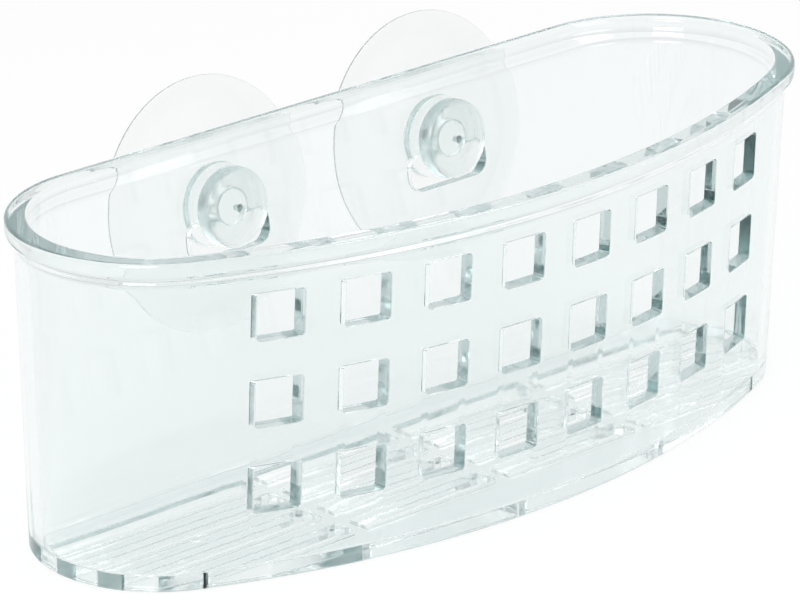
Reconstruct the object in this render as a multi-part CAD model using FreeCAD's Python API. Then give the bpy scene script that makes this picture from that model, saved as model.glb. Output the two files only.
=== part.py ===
import FreeCAD, Part
import math
import os

os.makedirs("parts", exist_ok=True)
V = FreeCAD.Vector

# Basket plan at the rim and at the base, all lengths in millimetres
rim_length = 210.0
rim_depth = 80.2
rim_end_radius = 31.8
height = 75.4
base_length = 201.2
base_front = -34.5
base_back = 27.2
base_end_radius = 28.6
base_corner_radius = 4.0

# Wall, floor and rim section, with the small slopes that break each edge
wall = 3.0
floor = 3.0
rim_overhang = 1.75
rim_face = 2.6
rim_flare = 4.0
rim_outer_edge = 0.7
rim_inner_edge = 0.5
base_edge = 0.6
floor_edge = 0.8

# Grid of square holes in the bowed front, each a little wider at the outside
hole_columns = 8
hole_rows = 3
hole_side = 10.2
hole_draft = 0.3
hole_pitch_along = 19.9
hole_corner = 0.5
top_row_share = 0.8024
row_pitch_share = 0.26

# Drain slots in the floor, cut across by ties
slot_count = 4
slot_pitch = 10.5
slot_width = 5.8
slot_first = -16.1
tie_count = 3
tie_pitch = 41.5
tie_width = 3.6
slot_end_margin = 1.2

# Inverted T keyholes in the leaning back wall
cup_spacing = 65.0
neck_share = 0.7851
keyhole_slot_width = 8.6
keyhole_shoulder = 2.2
keyhole_lobe_width = 22.5
keyhole_lobe_bottom = 10.5
keyhole_lobe_round = 3.2

# Suction cups, turned about their own axis
cup_radius = 28.1
cup_lip_thick = 1.0
cup_seal_inner = 24.5
cup_standoff = 5.0
cup_hollow_depth = 2.0
cup_hollow_flat = 9.4
cup_shoulder = 2.8
cup_hub_radius = 9.4
cup_gap = 0.3
neck_radius = 4.0
head_radius = 9.0
head_thick = 4.0
head_front_round = 1.9
head_steps = 3
pin_radius = 0.8
pin_depth = 2.5

overrun = 5.0
wall_back = rim_depth / 2 - rim_overhang
wall_front = -wall_back
lean = math.atan2(wall_back - base_back, height)
neck_height = height * neck_share
to_cup = V(0, math.cos(lean), -math.sin(lean))


def blend(low, high, share):
    return low + (high - low) * share


def plan(z, offset):
    # Six joined edges: bowed front, two ends, two back corners, straight back
    share = z / height
    length = blend(base_length, rim_length - 2 * rim_overhang, share)
    front = blend(base_front, wall_front, share)
    back = blend(base_back, wall_back, share)
    end_r = blend(base_end_radius, rim_end_radius - rim_overhang, share)
    corner_r = blend(base_corner_radius, rim_end_radius - rim_overhang, share)
    cx = length / 2 - end_r
    cy = wall_back - end_r
    rise = cy - end_r - front
    front_r = (cx * cx + rise * rise) / (2 * rise) + end_r
    fy = front + front_r
    turn = math.atan2(cx, fy - cy)
    corner_turn = math.asin(1 - (wall_back - base_back) / (base_end_radius - base_corner_radius))
    kx = cx + (end_r - corner_r) * math.cos(corner_turn)
    ky = back - corner_r
    return dict(cx=cx, cy=cy, end_r=end_r + offset, kx=kx, ky=ky, corner_r=corner_r + offset,
                fy=fy, front_r=front_r + offset, turn=turn, corner_turn=corner_turn)


def around(x, y, radius, angle, z):
    return V(x + radius * math.cos(angle), y + radius * math.sin(angle), z)


def mirrored(point):
    return V(-point.x, point.y, point.z)


def outline(z, offset):
    p = plan(z, offset)
    quarter = math.pi / 2
    start = p["turn"] - quarter
    a = around(p["cx"], p["cy"], p["end_r"], start, z)
    b = around(p["cx"], p["cy"], p["end_r"], (start + p["corner_turn"]) / 2, z)
    c = around(p["cx"], p["cy"], p["end_r"], p["corner_turn"], z)
    d = around(p["kx"], p["ky"], p["corner_r"], (p["corner_turn"] + quarter) / 2, z)
    e = around(p["kx"], p["ky"], p["corner_r"], quarter, z)
    middle = V(0, p["fy"] - p["front_r"], z)
    edges = [Part.Arc(mirrored(a), middle, a).toShape(),
             Part.Arc(a, b, c).toShape(),
             Part.Arc(c, d, e).toShape(),
             Part.makeLine(e, mirrored(e)),
             Part.Arc(mirrored(e), mirrored(d), mirrored(c)).toShape(),
             Part.Arc(mirrored(c), mirrored(b), mirrored(a)).toShape()]
    return Part.Wire(edges)


def rim_outline(z, offset):
    wire = outline(height, rim_overhang + offset)
    wire.translate(V(0, 0, z - height))
    return wire


def wall_face(low, high):
    # Flat face between straight edges, ruled face between arcs
    if low.Curve.TypeId == high.Curve.TypeId == "Part::GeomLine":
        a, b = [v.Point for v in low.Vertexes]
        c, d = [v.Point for v in high.Vertexes]
        return Part.Face(Part.makePolygon([a, b, d, c, a]))
    return Part.makeRuledSurface(low, high)


def skin(wires):
    faces = [Part.Face(wires[0]), Part.Face(wires[-1])]
    for low, high in zip(wires, wires[1:]):
        faces += [wall_face(a, b) for a, b in zip(low.Edges, high.Edges)]
    walls = Part.makeShell(faces)
    walls.sewShape()
    return Part.Solid(walls)


def plate(half_x, low, high, depth):
    # Upright plate and the four edges that run through its thickness along Y
    box = Part.makeBox(2 * half_x, depth, high - low, V(-half_x, 0, low))
    return box, [e for e in box.Edges if e.BoundBox.YLength > depth / 2]


def shell():
    rim_foot = height - rim_face
    outside = skin([outline(0, -base_edge),
                    outline(base_edge, 0),
                    outline(rim_foot - rim_flare, 0),
                    rim_outline(rim_foot, 0),
                    rim_outline(height - rim_outer_edge, 0),
                    rim_outline(height, -rim_outer_edge)])
    inside = skin([outline(floor, -wall - floor_edge),
                   outline(floor + floor_edge, -wall),
                   outline(height - rim_inner_edge, -wall),
                   outline(height, rim_inner_edge - wall)])
    return outside.cut(inside)


def hole_wire(x, y, z, half_x, half_z):
    # Upright square with its corners cut off
    c = hole_corner
    side = [(half_x, half_z - c), (half_x - c, half_z)]
    quarters = side + [(-a, b) for a, b in reversed(side)]
    points = quarters + [(-a, -b) for a, b in quarters]
    return Part.makePolygon([V(x + a, y, z + b) for a, b in points + points[:1]])


def front_holes():
    cuts = []
    for row in range(hole_rows):
        z = height * (top_row_share - row * row_pitch_share)
        bow = plan(z, 0)
        for column in range(hole_columns):
            angle = (column - (hole_columns - 1) / 2) * hole_pitch_along / bow["front_r"]
            x = bow["front_r"] * math.sin(angle)
            inside = bow["fy"] - math.sqrt((bow["front_r"] - wall) ** 2 - x * x)
            wires = []
            for y in (inside + overrun, wall_front - overrun):
                half = hole_side / 2 + hole_draft * (inside - y) / wall
                wires.append(hole_wire(x, y, z, half * math.cos(angle), half))
            cuts.append(skin(wires))
    return cuts


def drain_slots():
    foot = Part.Face(outline(floor, -wall - slot_end_margin)).extrude(V(0, 0, -floor - overrun))
    foot.translate(V(0, 0, overrun / 2))
    bars = []
    for index in range(slot_count):
        low = slot_first + index * slot_pitch - slot_width / 2
        bars.append(Part.makeBox(rim_length, slot_width, height, V(-rim_length / 2, low, -height / 2)))
    ties = []
    for index in range(tie_count):
        x = (index - (tie_count - 1) / 2) * tie_pitch - tie_width / 2
        ties.append(Part.makeBox(tie_width, rim_depth, height, V(x, -rim_depth / 2, -height / 2)))
    return foot.common(Part.makeCompound(bars)).cut(Part.makeCompound(ties))


def neck_point(side):
    # Where the neck axis meets the outer face of the back wall
    y = blend(base_back, wall_back, neck_share)
    return V(side * cup_spacing / 2, y, neck_height)


def keyhole(side):
    depth = wall + 2 * overrun
    half_slot = keyhole_slot_width / 2
    crown = Part.makeCylinder(half_slot, depth, V(0, 0, 0), V(0, 1, 0))
    stem_low = -keyhole_shoulder - keyhole_lobe_round
    stem = Part.makeBox(keyhole_slot_width, depth, -stem_low, V(-half_slot, 0, stem_low))
    box, corners = plate(keyhole_lobe_width / 2, -keyhole_lobe_bottom, -keyhole_shoulder, depth)
    lobe = box.makeFillet(keyhole_lobe_round, corners)
    cut = crown.fuse([stem, lobe]).removeSplitter()
    cut.translate(V(0, -wall - overrun, 0))
    cut.rotate(V(0, 0, 0), V(1, 0, 0), -math.degrees(lean))
    cut.translate(neck_point(side))
    return cut


def corner(start, sharp, end, steps):
    # Quarter turn between two faces that would meet at the sharp point
    centre = start + end - sharp
    middle = centre + (sharp - centre) * math.sqrt(1 / 2)
    return Part.Arc(start, middle, end).toShape().discretize(steps + 1)


def at(radius, level):
    return V(radius, 0, level)


def suction_cup(side):
    # Half section, radius along X and height above the sealing plane along Z
    hub = cup_standoff - cup_gap
    seat = cup_standoff + wall + cup_gap
    top = seat + head_thick
    points = [at(0, cup_hollow_depth), at(cup_hollow_flat, cup_hollow_depth),
              at(cup_seal_inner, 0), at(cup_radius, 0), at(cup_radius, cup_lip_thick),
              at(cup_hub_radius, cup_shoulder), at(cup_hub_radius, hub),
              at(neck_radius, hub), at(neck_radius, seat), at(head_radius, seat)]
    points += corner(at(head_radius, top - head_front_round), at(head_radius, top),
                     at(head_radius - head_front_round, top), head_steps)
    points += [at(pin_radius, top), at(pin_radius, top - pin_depth), at(0, top - pin_depth), points[0]]
    full_turn = 360
    solid = Part.Face(Part.makePolygon(points)).revolve(V(0, 0, 0), V(0, 0, 1), full_turn)
    upright = 90
    solid.rotate(V(0, 0, 0), V(1, 0, 0), upright - math.degrees(lean))
    solid.translate(neck_point(side) + to_cup * cup_standoff)
    return solid


basket = shell()
basket = basket.cut(Part.makeCompound(front_holes()))
basket = basket.cut(drain_slots())
basket = basket.cut(keyhole(-1)).cut(keyhole(1))
if basket.ShapeType != "Solid":
    basket = basket.Solids[0]
basket.exportStep("parts/basket.step")
suction_cup(-1).exportStep("parts/left_suction_cup.step")
suction_cup(1).exportStep("parts/right_suction_cup.step")
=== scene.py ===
from math import asin, atan2, cos, pi, radians, sin, sqrt
import bmesh
import bpy
from mathutils import Matrix, Vector
from mathutils.geometry import delaunay_2d_cdt


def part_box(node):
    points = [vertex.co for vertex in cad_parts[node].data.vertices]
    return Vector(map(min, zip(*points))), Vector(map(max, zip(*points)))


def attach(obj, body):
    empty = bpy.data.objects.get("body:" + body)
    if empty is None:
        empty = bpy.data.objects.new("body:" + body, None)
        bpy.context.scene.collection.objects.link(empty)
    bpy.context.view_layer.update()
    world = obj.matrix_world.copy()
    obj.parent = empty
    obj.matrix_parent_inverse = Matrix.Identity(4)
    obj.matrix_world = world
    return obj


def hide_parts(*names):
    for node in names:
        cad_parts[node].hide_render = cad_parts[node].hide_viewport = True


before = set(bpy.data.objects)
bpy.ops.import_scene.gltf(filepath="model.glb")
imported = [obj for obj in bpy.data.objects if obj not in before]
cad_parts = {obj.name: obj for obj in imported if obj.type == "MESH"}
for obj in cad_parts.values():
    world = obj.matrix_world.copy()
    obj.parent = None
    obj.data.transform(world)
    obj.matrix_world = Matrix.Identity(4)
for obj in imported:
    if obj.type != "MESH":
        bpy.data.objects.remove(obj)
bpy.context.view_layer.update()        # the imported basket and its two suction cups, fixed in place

mm = 0.001
basketLow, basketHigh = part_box("basket")
print("frame loaded:", sorted(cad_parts))


# Basket, in millimetres unless a note says otherwise

basket = {
    "height": basketHigh.z / mm,
    "rimLength": (basketHigh.x - basketLow.x) / mm,
    "rimBack": basketHigh.y / mm,
    "rimEndRadius": 31.8,
    "rimOverhang": 1.75,
    "rimFace": 2.6,
    "rimFlare": 4.0,
    "rimOuterRound": 0.9,
    "rimInnerRound": 0.6,
    "baseLength": 201.2,
    "baseFront": -34.5,
    "baseBack": 27.2,
    "baseEndRadius": 28.6,
    "baseCornerRadius": 4.0,
    "baseRound": 0.8,
    "wall": 3.0,
    "floor": 3.0,
    "floorRound": 0.8,
    "edgeRound": 0.25,      # soft edge round every hole, slot and keyhole
    "edgeSteps": 3,
    "roundSteps": 4,        # faces round each of the other edges
    "flareSteps": 8,
    "tailSteps": 4,         # from the last hole to the end of the bowed front
    "endSteps": 24,
    "cornerSteps": 12,
    "backSteps": 4,         # from a back corner to backEdge
    "backEdge": 62.0,       # x where the upright grid lines of the back start
}

holes = {
    "columns": 8,
    "rows": 3,
    "side": 9.9,
    "draft": 0.4,           # how much further each side stands out at the outer face
    "corner": 0.4,
    "pitchAlong": 19.9,
    "pitchShare": 0.26,     # of the height
    "topShare": 0.8024,     # of the height
    "bottomMargin": 2.8,
    "topMargin": 1.7,
}

slots = {
    "count": 4,
    "pitch": 10.5,
    "width": 5.8,
    "first": -16.1,
    "ties": 3,
    "tiePitch": 41.5,
    "tieWidth": 3.6,
    "endMargin": 1.2,
    "endSteps": 8,
}

keyholes = {
    "spacing": 65.0,
    "neckShare": 0.7851,    # of the height
    "slotWidth": 8.6,
    "shoulder": 2.2,
    "lobeWidth": 22.5,
    "lobeBottom": 10.5,
    "lobeRound": 3.2,
    "crownSteps": 16,
    "lobeSteps": 6,
    "panelHalf": 14.0,
}

strips = 6      # grid strips across each square hole and its margins
panelShares = (1, 0.5, 0, -0.5, -1)     # grid lines across the panel of each keyhole
wallBack = basket["rimBack"] - basket["rimOverhang"]
wallRun = wallBack - basket["baseBack"]
lean = atan2(wallRun, basket["height"])
toCup = Vector((0, cos(lean), -sin(lean)))
upWall = Vector((0, sin(lean), cos(lean)))


def mix(a, b, share):
    return a + (b - a) * share


def shares(count):      # equal steps from just past 0 up to 1
    return [(i + 1) / count for i in range(count)]


def quarter(steps):
    return [pi / 2 * i / steps for i in range(steps + 1)]


def arc(u, v, radius, start, end, steps):
    angles = [mix(start, end, i / steps) for i in range(steps + 1)]
    return [(u + radius * cos(t), v + radius * sin(t)) for t in angles]


def planAt(z):      # D outline at one height: bowed front, two ends, two back corners, straight back
    share = z / basket["height"]
    rimR = basket["rimEndRadius"] - basket["rimOverhang"]
    length = mix(basket["baseLength"], basket["rimLength"] - 2 * basket["rimOverhang"], share)
    front = mix(basket["baseFront"], -wallBack, share)
    back = mix(basket["baseBack"], wallBack, share)
    p = {"endR": mix(basket["baseEndRadius"], rimR, share)}
    p["cornerR"] = mix(basket["baseCornerRadius"], rimR, share)
    p["cx"] = length / 2 - p["endR"]
    p["cy"] = wallBack - p["endR"]
    rise = p["cy"] - p["endR"] - front
    p["frontR"] = (p["cx"] ** 2 + rise ** 2) / (2 * rise) + p["endR"]
    p["frontY"] = front + p["frontR"]
    p["turn"] = atan2(p["cx"], p["frontY"] - p["cy"])
    p["cornerTurn"] = asin(1 - wallRun / (basket["baseEndRadius"] - basket["baseCornerRadius"]))
    p["kx"] = p["cx"] + (p["endR"] - p["cornerR"]) * cos(p["cornerTurn"])
    p["ky"] = back - p["cornerR"]
    return p


def frontY(p, grow, x):
    return p["frontY"] - sqrt((p["frontR"] + grow) ** 2 - x * x)


# A station is one place round the outline: it turns a plan and an offset into x and y

def frontStation(x0, share):        # share 0 is the fixed x0, share 1 the end of the bowed front
    def spot(p, grow):
        x = mix(x0, (p["frontR"] + grow) * sin(p["turn"]), share)
        return x, frontY(p, grow, x)
    return spot


def endStation(share):
    def spot(p, grow):
        angle = mix(p["turn"] - pi / 2, p["cornerTurn"], share)
        r = p["endR"] + grow
        return p["cx"] + r * cos(angle), p["cy"] + r * sin(angle)
    return spot


def cornerStation(share):
    def spot(p, grow):
        angle = mix(p["cornerTurn"], pi / 2, share)
        r = p["cornerR"] + grow
        return p["kx"] + r * cos(angle), p["ky"] + r * sin(angle)
    return spot


def backStation(x0, share):     # share 0 is the fixed x0, share 1 the end of the straight back
    return lambda p, grow: (mix(x0, p["kx"], share), p["ky"] + p["cornerR"] + grow)


def mirrored(station):
    def spot(p, grow):
        x, y = station(p, grow)
        return -x, y
    return spot


def basketStations(xLines):     # stations once round the basket, and where those of the keyholes start
    middle = keyholes["spacing"] / 2
    backLines = [middle + keyholes["panelHalf"] * share for share in panelShares]
    backLines += [-x for x in reversed(backLines)]
    right = [frontStation(xLines[-1], share) for share in shares(basket["tailSteps"])]
    right += [endStation(share) for share in shares(basket["endSteps"])]
    right += [cornerStation(share) for share in shares(basket["cornerSteps"])]
    right += [backStation(basket["backEdge"], 1 - share) for share in shares(basket["backSteps"])]
    stations = [frontStation(x, 0) for x in xLines] + right + [backStation(x, 0) for x in backLines]
    return stations + [mirrored(station) for station in reversed(right)], len(xLines) + len(right)


def cutLines(middle, half, edge):       # grid lines across one hole and on to the edge of its margin
    c = holes["corner"]
    return [middle - half, middle - half + c, middle, middle + half - c, middle + half, edge]


def columnLines():      # middle and half width of each column of holes, and x of the grid lines
    middleZ = basket["height"] * (holes["topShare"] - holes["pitchShare"])
    r = planAt(middleZ)["frontR"]
    columns = []
    for c in range(holes["columns"]):
        angle = (c - (holes["columns"] - 1) / 2) * holes["pitchAlong"] / r
        columns.append((r * sin(angle), holes["side"] / 2 * cos(angle)))
    gap = (columns[1][0] - columns[0][0]) / 2
    edges = [(a[0] + b[0]) / 2 for a, b in zip(columns, columns[1:])] + [columns[-1][0] + gap]
    lines = [columns[0][0] - gap]
    for (x, half), edge in zip(columns, edges):
        lines += cutLines(x, half, edge)
    return columns, lines


def rowLines():     # middle of each row of holes from the lowest up, and z of the grid lines
    half = holes["side"] / 2
    rowShares = [holes["topShare"] - r * holes["pitchShare"] for r in range(holes["rows"])]
    centres = [basket["height"] * share for share in reversed(rowShares)]
    edges = [(a + b) / 2 for a, b in zip(centres, centres[1:])] + [centres[-1] + half + holes["topMargin"]]
    lines = [centres[0] - half - holes["bottomMargin"]]
    for z, edge in zip(centres, edges):
        lines += cutLines(z, half, edge)
    return centres, lines


def sectionRows(levels):        # closed wall section from the base edge over the rim to the floor
    # each row is its height, the height whose plan it takes, and its offset from that plan
    h, w = basket["height"], basket["wall"]
    turns = quarter(basket["roundSteps"])
    r = basket["baseRound"]
    rows = [(r - r * cos(t), r - r * cos(t), r * sin(t) - r) for t in turns]
    outerStart = len(rows)
    rows += [(z, z, 0) for z in levels]
    foot = h - basket["rimFace"] - basket["rimFlare"]
    for share in [0] + shares(basket["flareSteps"]):
        swell = share * share * (3 - 2 * share)     # starts and ends gently
        rows.append((foot + basket["rimFlare"] * share, mix(foot, h, swell), basket["rimOverhang"] * swell))
    r = basket["rimOuterRound"]
    rows += [(h - r + r * sin(t), h, basket["rimOverhang"] - r + r * cos(t)) for t in turns]
    r = basket["rimInnerRound"]
    rows += [(h - r + r * cos(t), h, r - w - r * sin(t)) for t in turns]
    rows.append((foot, foot, -w))
    innerStart = len(rows)
    rows += [(z, z, -w) for z in reversed(levels)]
    r = basket["floorRound"]
    for t in turns:
        z = basket["floor"] + r - r * sin(t)
        rows.append((z, z, -w - r + r * cos(t)))
    return rows, outerStart, innerStart


def throughSteps(depth):        # growth and depth of each loop that leads through a rounded opening
    r = basket["edgeRound"]
    near = [(r - r * sin(t), r - r * cos(t)) for t in quarter(basket["edgeSteps"])]
    return near + [(grow, depth - d) for grow, d in reversed(near)]


# Mesh tools

def startMesh():
    bm = bmesh.new()
    bm.verts.layers.float.new("paintedShadeMask")      # 1 where a finish takes its darker tint of painted shade
    return bm


def addVert(bm, x, y, z):
    return bm.verts.new((x * mm, y * mm, z * mm))


# marks the given loops of vertices for painted shade
def paintShadeLoops(bm, loops):
    shadeMark = bm.verts.layers.float["paintedShadeMask"]
    for loop in loops:
        for vert in loop:
            vert[shadeMark] = 1


def bridge(bm, loops):      # quads from each loop to the next, all of the same length
    for a, b in zip(loops, loops[1:]):
        for i in range(len(a)):
            j = (i + 1) % len(a)
            bm.faces.new((a[i], a[j], b[j], b[i]))


def fillFlat(bm, loops, up):        # flat face inside the first loop, open inside the others
    corners = [v for loop in loops for v in loop]
    flat = [Vector((v.co.x / mm, v.co.dot(up) / mm)) for v in corners]
    edges, owner = [], []
    for index, loop in enumerate(loops):
        start = len(edges)
        edges += [(start + i, start + (i + 1) % len(loop)) for i in range(len(loop))]
        owner += [index] * len(loop)
    insideOnly, tolerance = 1, 1e-6
    made = delaunay_2d_cdt(flat, edges, [], insideOnly, tolerance)
    triangles, sources = made[2], made[3]
    for triangle in triangles:
        a, b, c = [sources[i][0] for i in triangle]
        inOrder = (b - a) * (c - b) * (a - c) < 0
        if owner[a] == owner[b] == owner[c] > 0 and inOrder:
            continue        # it lies in the opening whose loop its corners follow
        bm.faces.new((corners[a], corners[b], corners[c]))


def blockLoop(rings, rowIds, stationIds):       # grid points round a block of cells
    loop = [rings[rowIds[0]][s] for s in stationIds[:-1]]
    loop += [rings[k][stationIds[-1]] for k in rowIds[:-1]]
    loop += [rings[rowIds[-1]][s] for s in reversed(stationIds[1:])]
    loop += [rings[k][stationIds[0]] for k in reversed(rowIds[1:])]
    return loop


def finishMesh(bm, name):
    bmesh.ops.recalc_face_normals(bm, faces=bm.faces)
    for face in bm.faces:
        face.smooth = True
    loose = sum(1 for e in bm.edges if not e.is_manifold)
    mesh = bpy.data.meshes.new(name)
    bm.to_mesh(mesh)
    bm.free()
    piece = bpy.data.objects.new(name, mesh)
    bpy.context.scene.collection.objects.link(piece)
    weighted = piece.modifiers.new("faceWeight", "WEIGHTED_NORMAL")
    weighted.mode = "FACE_AREA"
    weighted.keep_sharp = False
    print(name, "built:", len(mesh.polygons), "faces,", loose, "open edges")
    return piece


# Openings of the basket

def holeLoop(x, z, half, grow):     # rounded square, six points to a side from the lower left corner
    c = holes["corner"]
    tall = holes["side"] / 2
    centres = [(x - half + c, z - tall + c), (x + half - c, z - tall + c),
               (x + half - c, z + tall - c), (x - half + c, z + tall - c)]
    middles = [(x, z - tall - grow), (x + half + grow, z), (x, z + tall + grow), (x - half - grow, z)]
    points = []
    for q in range(4):
        start = pi * 5 / 4 + pi / 2 * q
        points += arc(*centres[q], c + grow, start, start + pi / 4, steps=2)
        points.append(middles[q])
        points += arc(*centres[(q + 1) % 4], c + grow, start + pi / 4, start + pi * 3 / 8, steps=1)
    return points


def holeLoops(bm, x, z, half):
    w = basket["wall"]
    loops = []
    for grow, depth in throughSteps(w):
        loop = []
        for u, v in holeLoop(x, z, half, grow + holes["draft"] * (1 - depth / w)):
            p = planAt(v)
            loop.append(addVert(bm, u, mix(frontY(p, 0, u), frontY(p, -w, u), depth / w), v))
        loops.append(loop)
    paintShadeLoops(bm, loops[2:-2])      # painted shade on the sides of the hole, clear of both faces of the wall
    return loops


def neckPoint(side):        # where the neck axis meets the outer face of the back wall
    share = keyholes["neckShare"]
    return Vector((side * keyholes["spacing"] / 2, mix(basket["baseBack"], wallBack, share),
                   basket["height"] * share))


def keyholeLoop(grow):      # inverted T in the plane of the back wall, from the neck centre
    k = keyholes
    half = k["slotWidth"] / 2 + grow
    lobe = k["lobeWidth"] / 2
    r = k["lobeRound"]
    points = arc(0, 0, half, 0, pi, k["crownSteps"])
    points.append((-half, grow - k["shoulder"]))
    centres = [(r - lobe, -k["shoulder"] - r), (r - lobe, r - k["lobeBottom"]),
               (lobe - r, r - k["lobeBottom"]), (lobe - r, -k["shoulder"] - r)]
    for q, (u, v) in enumerate(centres):
        start = pi / 2 + pi / 2 * q
        points += arc(u, v, r + grow, start, start + pi / 2, k["lobeSteps"])
    points.append((half, grow - k["shoulder"]))
    return points


def keyholeLoops(bm, sign):
    start = neckPoint(sign)
    loops = []
    for grow, depth in throughSteps(basket["wall"] * cos(lean)):
        spots = [start + Vector((u, 0, 0)) + upWall * v - toCup * depth for u, v in keyholeLoop(grow)]
        loops.append([addVert(bm, *spot) for spot in spots])
    return loops


def wallOpenings(columns, centres, backStart):      # each hole and keyhole with its block of the grid
    openings = []
    for r, z in enumerate(centres):
        for c, (x, half) in enumerate(columns):
            rowIds = list(range(strips * r, strips * (r + 1) + 1))
            stationIds = list(range(strips * c, strips * (c + 1) + 1))
            openings.append(("hole", (x, z, half), rowIds, stationIds))
    top = strips * len(centres) - 1
    for index, sign in enumerate((1, -1)):
        first = backStart + index * len(panelShares)
        stationIds = list(range(first, first + len(panelShares)))
        openings.append(("keyhole", sign, list(range(top - strips, top + 1)), stationIds))
    return openings


def planX(y, grow):     # half length of the floor outline at one y
    p = planAt(basket["floor"])
    r = p["endR"] + grow
    if y < p["cy"] + r * sin(p["turn"] - pi / 2):
        return sqrt((p["frontR"] + grow) ** 2 - (p["frontY"] - y) ** 2)
    if y < p["cy"] + r * sin(p["cornerTurn"]):
        return p["cx"] + sqrt(r * r - (y - p["cy"]) ** 2)
    return p["kx"] + sqrt((p["cornerR"] + grow) ** 2 - (y - p["ky"]) ** 2)


def slotLoops(grow):        # one loop for each drain slot between its ties
    tie = slots["tieWidth"] / 2 - grow
    middles = [(i - (slots["ties"] - 1) / 2) * slots["tiePitch"] for i in range(slots["ties"])]
    rightEdge, leftEdge = middles[-1] + tie, middles[0] - tie
    margin = grow - basket["wall"] - slots["endMargin"]
    loops = []
    for index in range(slots["count"]):
        y = slots["first"] + index * slots["pitch"]
        y0, y1 = y - slots["width"] / 2 - grow, y + slots["width"] / 2 + grow
        climb = [mix(y0, y1, share) for share in [0] + shares(slots["endSteps"])]
        curve = [(planX(v, margin), v) for v in climb]
        loops.append([(rightEdge, y1), (rightEdge, y0)] + curve)
        loops.append([(leftEdge, y0), (leftEdge, y1)] + [(-u, v) for u, v in reversed(curve)])
        for a, b in zip(middles, middles[1:]):
            loops.append([(a + tie, y0), (b - tie, y0), (b - tie, y1), (a + tie, y1)])
    return loops


def addWall(bm, rings, openings, outerRow, innerRow):       # grid faces, and each opening led through them
    skipped = set()
    for kind, value, rowIds, stationIds in openings:
        for k in rowIds[:-1]:
            for s in stationIds[:-1]:
                skipped.add((outerRow[k], s))
                skipped.add((innerRow[k + 1], s))
    count = len(rings[0])
    for k in range(len(rings) - 1):
        for s in range(count):
            if (k, s) not in skipped:
                t = (s + 1) % count
                bm.faces.new((rings[k][s], rings[k][t], rings[k + 1][t], rings[k + 1][s]))
    for kind, value, rowIds, stationIds in openings:
        outer = blockLoop(rings, [outerRow[k] for k in rowIds], stationIds)
        inner = blockLoop(rings, [innerRow[k] for k in rowIds], stationIds)
        if kind == "hole":
            bridge(bm, [outer] + holeLoops(bm, *value) + [inner])
        else:
            loops = keyholeLoops(bm, value)
            bridge(bm, loops)
            fillFlat(bm, [outer, loops[0]], upWall)
            fillFlat(bm, [inner, loops[-1]], upWall)


def addFloor(bm, baseRing, floorRing):      # both faces of the floor, and the drain slots between them
    drains = [[] for loop in slotLoops(0)]
    for grow, depth in throughSteps(basket["floor"]):
        for drain, points in zip(drains, slotLoops(grow)):
            drain.append([addVert(bm, x, y, basket["floor"] - depth) for x, y in points])
    for drain in drains:
        bridge(bm, drain)
    toBack = Vector((0, 1, 0))
    fillFlat(bm, [floorRing] + [drain[0] for drain in drains], toBack)
    fillFlat(bm, [baseRing] + [drain[-1] for drain in drains], toBack)


def makeBasket():
    columns, xLines = columnLines()
    centres, zLines = rowLines()
    stations, backStart = basketStations(xLines)
    rows, outerStart, innerStart = sectionRows(zLines)
    outerRow = [outerStart + i for i in range(len(zLines))]
    innerRow = [innerStart + i for i in reversed(range(len(zLines)))]
    bm = startMesh()
    rings = []
    for z, planZ, grow in rows:
        p = planAt(planZ)
        rings.append([addVert(bm, *station(p, grow), z) for station in stations])
    addWall(bm, rings, wallOpenings(columns, centres, backStart), outerRow, innerRow)
    addFloor(bm, rings[0], rings[-1])
    return finishMesh(bm, "basketShell")


# Suction cups

cup = {
    "radius": 28.1,
    "lipThick": 0.6,
    "sealInner": 24.5,
    "standoff": 5.0,
    "hollowDepth": 2.0,
    "hollowPower": 1.5,     # above 1 the middle of the hollow is flatter
    "shoulder": 2.8,
    "shoulderRound": 0.6,
    "sag": 0.12,            # how far the back of the disc sinks between lip and hub
    "hubRadius": 9.4,
    "hubRound": 0.4,
    "gap": 0.3,
    "neckRadius": 4.0,
    "neckRound": 0.5,
    "seatRound": 0.4,
    "headRadius": 9.0,
    "headThick": 4.0,
    "headFrontRound": 1.9,
    "headBackRound": 0.6,
    "dishRadius": 6.2,
    "dishDepth": 0.06,
    "pinRadius": 0.8,
    "pinRound": 0.25,
    "pinDepth": 2.5,
    "pinFootShare": 0.9,    # of the pin hole's radius
    "turns": 96,
}


def cupSection():       # radius and height above the sealing face, from the hollow round to the pin hole
    c = cup
    hub = c["standoff"] - c["gap"]
    seat = c["standoff"] + basket["wall"] + c["gap"]
    top = seat + c["headThick"]
    lip = c["lipThick"] / 2
    points = []
    for share in shares(12):
        points.append((c["sealInner"] * share, c["hollowDepth"] * cos(pi / 2 * share ** c["hollowPower"])))
    points += arc(c["radius"] - lip, lip, lip, -pi / 2, pi / 2, steps=6)
    r = c["shoulderRound"]
    for share in shares(11)[:-1]:
        level = mix(c["lipThick"], c["shoulder"], share) - c["sag"] * sin(pi * share)
        points.append((mix(c["radius"] - lip, c["hubRadius"] + r, share), level))
    points += arc(c["hubRadius"] + r, c["shoulder"] + r, r, -pi / 2, -pi, steps=4)[1:]
    r = c["hubRound"]
    points += arc(c["hubRadius"] - r, hub - r, r, 0, pi / 2, steps=4)
    r = c["neckRound"]
    points += arc(c["neckRadius"] + r, hub + r, r, -pi / 2, -pi, steps=3)
    r = c["seatRound"]
    points += arc(c["neckRadius"] + r, seat - r, r, pi, pi / 2, steps=3)
    r = c["headBackRound"]
    points += arc(c["headRadius"] - r, seat + r, r, -pi / 2, 0, steps=5)
    r = c["headFrontRound"]
    points += arc(c["headRadius"] - r, top - r, r, 0, pi / 2, steps=8)
    r = c["pinRound"]
    for share in [0] + shares(6):
        level = top - c["dishDepth"] * sin(pi / 2 * share)
        points.append((mix(c["dishRadius"], c["pinRadius"] + r, share), level))
    points += arc(c["pinRadius"] + r, top - c["dishDepth"] - r, r, pi / 2, pi, steps=3)[1:]
    points.append((c["pinRadius"] * c["pinFootShare"], top - c["pinDepth"]))
    return points


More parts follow.
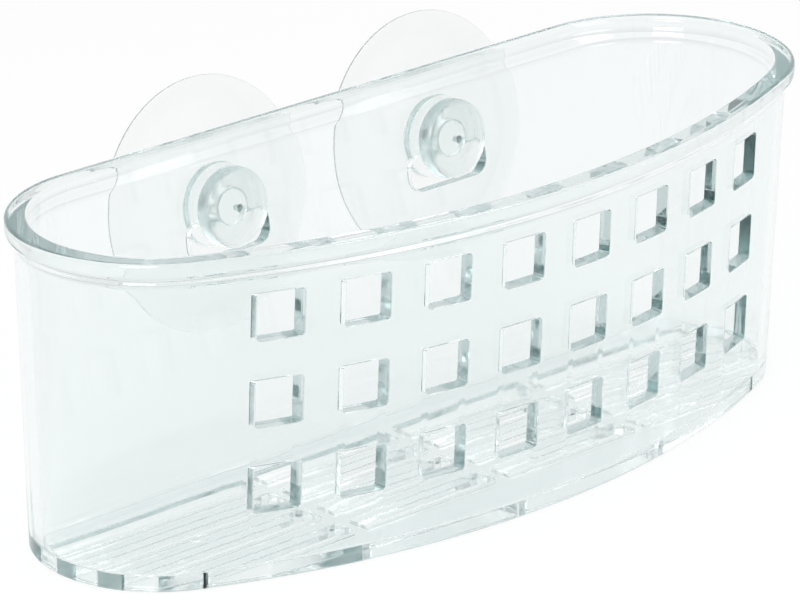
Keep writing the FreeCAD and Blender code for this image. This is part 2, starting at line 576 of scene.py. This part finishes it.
def makeCup(side, name):
    bm = startMesh()
    centre = neckPoint(side) + toCup * cup["standoff"]
    across = Vector((1, 0, 0))
    section = cupSection()
    rings = []
    for r, v in section:
        ring = []
        for i in range(cup["turns"]):
            t = 2 * pi * i / cup["turns"]
            spot = centre - toCup * v + (across * cos(t) + upWall * sin(t)) * r
            ring.append(addVert(bm, *spot))
        rings.append(ring)
    bridge(bm, rings)
    crown = addVert(bm, *(centre - toCup * cup["hollowDepth"]))
    foot = addVert(bm, *(centre - toCup * section[-1][1]))
    for ring, tip in ((rings[0], crown), (rings[-1], foot)):
        for i in range(cup["turns"]):
            bm.faces.new((ring[i], ring[(i + 1) % cup["turns"]], tip))
    paintShadeLoops(bm, rings[-3:] + [[foot]])        # painted shade down the pin hole
    return finishMesh(bm, name)


# Finishes

plastic = {
    "tint": (0.95, 0.974, 0.973, 1),
    "paintedShadeColour": (0.56, 0.65, 0.65, 1),          # painted shade on the sides of the square holes
    "lampTint": (0.90, 0.92, 0.92, 1),          # lamp light let through by each surface
    "depthTint": (0.45, 0.61, 0.61, 1),
    "depthDensity": 9.0,        # per metre of plastic
    "ior": 1.53,
    "roughness": 0.02,
    "roughnessSpread": 0.05,
    "flowScale": 14.0,
    "flowHeight": 0.00004,      # metres
}

vinyl = {
    "tint": (0.985, 0.995, 0.994, 1),
    "paintedShadeColour": (0.16, 0.21, 0.21, 1),          # painted shade down the pin hole
    "lampTint": (0.90, 0.92, 0.92, 1),
    "depthTint": (0.50, 0.70, 0.69, 1),
    "depthDensity": 28.0,
    "ior": 1.45,
    "roughness": 0.2,
    "roughnessSpread": 0.05,
    "flowScale": 60.0,
    "flowHeight": 0.00006,
}

surface = {
    "waveDetail": 2,
    "hazeScale": 420,
    "hazeDetail": 3,
    "hazeFrom": 0.35,
    "hazeTo": 0.75,
}


def newGroup(name, kind, inputs, outputs):
    group = bpy.data.node_groups.new(name, "ShaderNodeTree")
    for label in inputs:
        group.interface.new_socket(label, in_out="INPUT", socket_type=kind)
    for label in outputs:
        group.interface.new_socket(label, in_out="OUTPUT", socket_type=kind)
    return group, group.nodes.new("NodeGroupInput"), group.nodes.new("NodeGroupOutput")


def mouldFlowGroup():       # slow waves and fine haze that a moulded clear surface shows
    inputs = ("Scale", "Base Roughness", "Spread")
    group, start, end = newGroup("mouldFlow", "NodeSocketFloat", inputs, ("Roughness", "Height"))
    n, link = group.nodes, group.links.new
    place = n.new("ShaderNodeTexCoord")
    waves = n.new("ShaderNodeTexNoise")
    waves.inputs["Detail"].default_value = surface["waveDetail"]
    link(place.outputs["Object"], waves.inputs["Vector"])
    link(start.outputs["Scale"], waves.inputs["Scale"])
    haze = n.new("ShaderNodeTexNoise")
    haze.inputs["Scale"].default_value = surface["hazeScale"]
    haze.inputs["Detail"].default_value = surface["hazeDetail"]
    link(place.outputs["Object"], haze.inputs["Vector"])
    ramp = n.new("ShaderNodeMapRange")
    ramp.inputs["From Min"].default_value = surface["hazeFrom"]
    ramp.inputs["From Max"].default_value = surface["hazeTo"]
    link(haze.outputs["Fac"], ramp.inputs["Value"])
    spread = n.new("ShaderNodeMath")
    spread.operation = "MULTIPLY_ADD"
    link(ramp.outputs["Result"], spread.inputs[0])
    link(start.outputs["Spread"], spread.inputs[1])
    link(start.outputs["Base Roughness"], spread.inputs[2])
    link(spread.outputs["Value"], end.inputs["Roughness"])
    link(waves.outputs["Fac"], end.inputs["Height"])
    return group


def makePaintedShadeTint():      # body tint, and a darker tint painted as shade where the mesh is marked
    group, start, end = newGroup("bodyTintPaintedShade", "NodeSocketColor", ("Tint", "Painted Shade Colour"), ("Color",))
    n, link = group.nodes, group.links.new
    shadeMark = n.new("ShaderNodeAttribute")
    shadeMark.attribute_name = "paintedShadeMask"
    colour = n.new("ShaderNodeMix")
    colour.data_type = "RGBA"
    link(shadeMark.outputs["Fac"], colour.inputs["Factor"])
    link(start.outputs["Tint"], colour.inputs[6])       # A and B of the colour mix
    link(start.outputs["Painted Shade Colour"], colour.inputs[7])
    link(colour.outputs[2], end.inputs["Color"])
    return group


flowGroup = mouldFlowGroup()
tintShadeGroup = makePaintedShadeTint()


def eitherRay(n, link, first, second):      # 1 for a ray of either kind
    either = n.new("ShaderNodeMath")
    either.operation = "MAXIMUM"
    link(first, either.inputs[0])
    link(second, either.inputs[1])
    return either.outputs["Value"]


def clearMaterial(name, look):
    material = bpy.data.materials.new(name)
    material.use_nodes = True
    n, link = material.node_tree.nodes, material.node_tree.links.new
    shader, output = n["Principled BSDF"], n["Material Output"]
    tint = n.new("ShaderNodeGroup")
    tint.node_tree = tintShadeGroup
    tint.inputs["Tint"].default_value = look["tint"]
    # painted shade: the darker tint on the hole sides or down the pin hole
    tint.inputs["Painted Shade Colour"].default_value = look["paintedShadeColour"]
    link(tint.outputs["Color"], shader.inputs["Base Color"])
    shader.inputs["Transmission Weight"].default_value = 1
    shader.inputs["IOR"].default_value = look["ior"]
    flow = n.new("ShaderNodeGroup")
    flow.node_tree = flowGroup
    flow.inputs["Scale"].default_value = look["flowScale"]
    flow.inputs["Base Roughness"].default_value = look["roughness"]
    flow.inputs["Spread"].default_value = look["roughnessSpread"]
    link(flow.outputs["Roughness"], shader.inputs["Roughness"])
    bump = n.new("ShaderNodeBump")
    bump.inputs["Distance"].default_value = look["flowHeight"]
    link(flow.outputs["Height"], bump.inputs["Height"])
    link(bump.outputs["Normal"], shader.inputs["Normal"])
    depth = n.new("ShaderNodeVolumeAbsorption")
    depth.inputs["Color"].default_value = look["depthTint"]
    depth.inputs["Density"].default_value = look["depthDensity"]
    link(depth.outputs["Volume"], output.inputs["Volume"])
    path = n.new("ShaderNodeLightPath")     # lamps light the floor and whatever is in the basket
    lampRay = eitherRay(n, link, path.outputs["Is Shadow Ray"], path.outputs["Is Diffuse Ray"])
    through = n.new("ShaderNodeBsdfTransparent")
    through.inputs["Color"].default_value = look["lampTint"]
    blendIn = n.new("ShaderNodeMixShader")
    link(lampRay, blendIn.inputs["Fac"])
    link(shader.outputs["BSDF"], blendIn.inputs[1])
    link(through.outputs["BSDF"], blendIn.inputs[2])
    link(blendIn.outputs["Shader"], output.inputs["Surface"])
    return material


clearPlastic = clearMaterial("clearPlastic", plastic)
softVinyl = clearMaterial("softVinyl", vinyl)
print("finishes made")

shell = makeBasket()
shell.data.materials.append(clearPlastic)
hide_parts("basket")
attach(shell, "basket")

for side, word in ((-1, "left"), (1, "right")):
    piece = makeCup(side, word + "CupSoft")
    piece.data.materials.append(softVinyl)
    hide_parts(word + "_suction_cup")
    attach(piece, word + "_cup")
print("pieces dressed")


# Stage, light and camera, in metres unless a note says otherwise

stage = {
    "floorSize": 6.0,
    "floorDrop": 0.0004,        # keeps the floor just clear of the base
    "floorColour": (0.97, 0.97, 0.97, 1),
    "floorShade": 0.3,          # how much of the floor's own shading shows
    "shadeInPlastic": 0.55,     # the same, mirrored in the plastic or seen through it
    "backdropAt": (0.55, 0.78, 0.3),        # way to the middle of the white backdrop
    "backdropWhite": 1.0,
    "roomDark": 0.6,
    "fadeFrom": 0.3,            # how far a ray faces the backdrop where the room turns light
    "fadeTo": 0.8,              # and where it is white
    "bounces": 96,              # light guided along the clear walls needs many
}

softboxes = {
    "leftSoftbox": {"place": (-1.0, -0.65, 0.8), "width": 0.6, "height": 0.6, "watts": 10},
    "frontSoftbox": {"place": (0.4, -1.0, 0.8), "width": 0.7, "height": 0.5, "watts": 4.5},
}
lampAim = (0, 0, 0.04)


def whiteShare(n, link):        # how white the floor looks to the camera and by way of the plastic
    path = n.new("ShaderNodeLightPath")
    share = n.new("ShaderNodeMath")
    share.operation = "MULTIPLY"
    share.inputs[1].default_value = 1 - stage["shadeInPlastic"]
    byPlastic = eitherRay(n, link, path.outputs["Is Glossy Ray"], path.outputs["Is Transmission Ray"])
    link(byPlastic, share.inputs[0])
    pick = n.new("ShaderNodeMix")
    pick.data_type = "FLOAT"
    link(path.outputs["Is Camera Ray"], pick.inputs["Factor"])
    link(share.outputs["Value"], pick.inputs["A"])
    pick.inputs["B"].default_value = 1 - stage["floorShade"]
    return pick.outputs["Result"]


def makeFloor():
    half = stage["floorSize"] / 2
    corners = [(-half, -half, 0), (half, -half, 0), (half, half, 0), (-half, half, 0)]
    mesh = bpy.data.meshes.new("floor")
    mesh.from_pydata(corners, [], [(0, 1, 2, 3)])
    floor = bpy.data.objects.new("floor", mesh)
    floor.location.z = -stage["floorDrop"]
    bpy.context.scene.collection.objects.link(floor)
    material = bpy.data.materials.new("paleFloor")
    material.use_nodes = True
    n, link = material.node_tree.nodes, material.node_tree.links.new
    n.remove(n["Principled BSDF"])
    matte = n.new("ShaderNodeBsdfDiffuse")
    matte.inputs["Color"].default_value = stage["floorColour"]
    glow = n.new("ShaderNodeEmission")
    blendIn = n.new("ShaderNodeMixShader")
    link(whiteShare(n, link), blendIn.inputs["Fac"])
    link(matte.outputs["BSDF"], blendIn.inputs[1])
    link(glow.outputs["Emission"], blendIn.inputs[2])
    link(blendIn.outputs["Shader"], n["Material Output"].inputs["Surface"])
    mesh.materials.append(material)


def makeWorld():
    world = bpy.data.worlds.new("studio")
    bpy.context.scene.world = world
    world.use_nodes = True
    n, link = world.node_tree.nodes, world.node_tree.links.new
    place = n.new("ShaderNodeTexCoord")
    facing = n.new("ShaderNodeVectorMath")
    facing.operation = "DOT_PRODUCT"
    link(place.outputs["Generated"], facing.inputs[0])
    facing.inputs[1].default_value = stage["backdropAt"]
    fade = n.new("ShaderNodeMapRange")
    fade.inputs["From Min"].default_value = stage["fadeFrom"]
    fade.inputs["From Max"].default_value = stage["fadeTo"]
    fade.inputs["To Min"].default_value = stage["roomDark"]
    fade.inputs["To Max"].default_value = stage["backdropWhite"]
    link(facing.outputs["Value"], fade.inputs["Value"])
    path = n.new("ShaderNodeLightPath")
    pick = n.new("ShaderNodeMix")
    pick.data_type = "FLOAT"
    link(path.outputs["Is Camera Ray"], pick.inputs["Factor"])
    link(fade.outputs["Result"], pick.inputs["A"])
    pick.inputs["B"].default_value = 1      # the camera sees plain white
    link(pick.outputs["Result"], n["Background"].inputs["Strength"])
    n["Background"].inputs["Color"].default_value = (1, 1, 1, 1)


def addSoftbox(name, box):
    light = bpy.data.lights.new(name, "AREA")
    light.shape = "RECTANGLE"
    light.size, light.size_y = box["width"], box["height"]
    light.energy = box["watts"]
    lamp = bpy.data.objects.new(name, light)
    lamp.location = box["place"]
    lamp.rotation_euler = (Vector(lampAim) - Vector(box["place"])).to_track_quat("-Z", "Y").to_euler()
    bpy.context.scene.collection.objects.link(lamp)


view = {
    "azimuth": -42.417,         # degrees, as are the next two
    "elevation": 21.226,
    "roll": -0.215,
    "distance": 1.227557,
    "focalPixels": 5619.94,     # at the photograph's width
    "photoWidth": 800,
    "sensor": 36.0,             # millimetres
    "aim": (0, 0, 0.035),
    "aimRight": -0.008814,
    "aimUp": 0.003111,
    "reach": 50,
}


def makeCamera():
    a, e, roll = radians(view["azimuth"]), radians(view["elevation"]), radians(view["roll"])
    back = Vector((sin(a) * cos(e), -cos(a) * cos(e), sin(e)))
    level = Vector((cos(a), sin(a), 0))
    up = back.cross(level)
    right = level * cos(roll) + up * sin(roll)
    up = up * cos(roll) - level * sin(roll)
    data = bpy.data.cameras.new("photoCamera")
    data.sensor_fit = "HORIZONTAL"
    data.sensor_width = view["sensor"]
    data.lens = view["focalPixels"] * view["sensor"] / view["photoWidth"]
    data.clip_end = view["reach"]
    camera = bpy.data.objects.new("photoCamera", data)
    place = Vector(view["aim"]) + right * view["aimRight"] + up * view["aimUp"] + back * view["distance"]
    turn = Matrix((right, up, back)).transposed().to_4x4()
    camera.matrix_world = Matrix.Translation(place) @ turn
    bpy.context.scene.collection.objects.link(camera)
    bpy.context.scene.camera = camera


makeFloor()
makeWorld()
for name, box in softboxes.items():
    addSoftbox(name, box)
makeCamera()
bpy.context.scene.view_settings.view_transform = "Standard"
cycles = bpy.context.scene.cycles
cycles.max_bounces = stage["bounces"]
cycles.glossy_bounces = stage["bounces"]
cycles.transmission_bounces = stage["bounces"]
cycles.caustics_reflective = False
cycles.caustics_refractive = False
print("stage and camera set")
